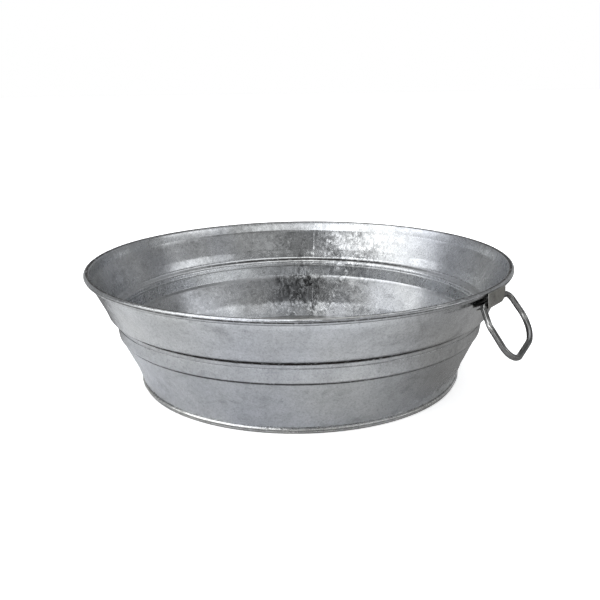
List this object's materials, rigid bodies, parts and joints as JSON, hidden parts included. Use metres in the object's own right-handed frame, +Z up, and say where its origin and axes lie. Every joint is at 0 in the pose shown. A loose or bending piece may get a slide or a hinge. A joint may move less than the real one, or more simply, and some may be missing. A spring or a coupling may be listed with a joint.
{
  "type": "oil drain pan",
  "caption": "Round shallow sheet-metal pan with sloped stepped sides, a rolled rim, a seamed flat bottom and a drop ring handle, for catching drained oil.",
  "frame": {"origin": "on the pan's axis, at the plane it stands on", "axes": "+Z up, +X to the side the ring handle is nearer, +Y to the back, where the wall's lock seam is; the ear is 37.2 degrees from +X towards -Y"},
  "size_m": [0.406, 0.406, 0.114],
  "materials": {
    "wall_zinc": "galvanised, dull with faint spangle",
    "bottom_zinc": "galvanised, mottled",
    "wire_steel": "drawn wire",
    "ear_zinc": "galvanised, dull",
    "ring_zinc": "galvanised, dark grey"
  },
  "bodies": {
    "pan": {"pan_body": "wall_zinc", "bottom_disc": "bottom_zinc", "rim_wire": "wire_steel", "handle_ear": "ear_zinc"},
    "ring": {"ring_handle": "ring_zinc"}
  },
  "joints": [
    {"name": "ring_swing", "type": "hinge", "parent": "pan", "child": "ring", "pos_m": [0.1597, -0.12122, 0.1021], "axis": [-0.6046, -0.7965, 0], "range_deg": [-60, 108]}
  ]
}
